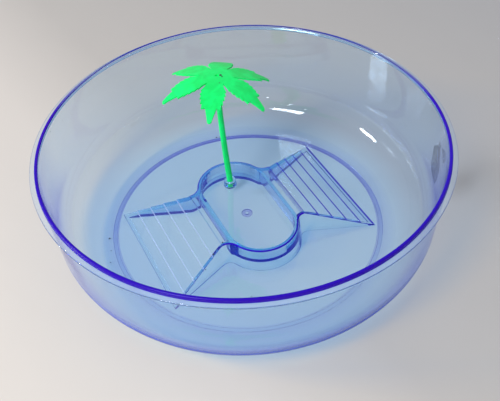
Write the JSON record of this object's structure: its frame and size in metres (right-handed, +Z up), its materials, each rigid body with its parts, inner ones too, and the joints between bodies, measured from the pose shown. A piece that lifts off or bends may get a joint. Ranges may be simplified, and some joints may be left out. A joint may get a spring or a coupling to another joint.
{
  "type": "turtle tank",
  "caption": "Round clear bowl for a small turtle, with a moulded island of stepped ramps about a sunken basin, and a push-in plastic palm tree.",
  "frame": {"origin": "on the bowl's axis, in the plane that the foot ring stands on", "axes": "+Z up along the bowl's axis; X along the island's two ramps; the palm stands on the +Y side of the basin"},
  "size_m": [0.24, 0.24, 0.0951],
  "materials": {
    "clear_blue": "clear, polished, faint blue tint that gathers to violet-blue in the edges",
    "palm_green": "satin, opaque bright green"
  },
  "bodies": {
    "root": {"tank": "clear_blue", "palm_trunk": "palm_green", "palm_crown": "palm_green"}
  },
  "joints": []
}
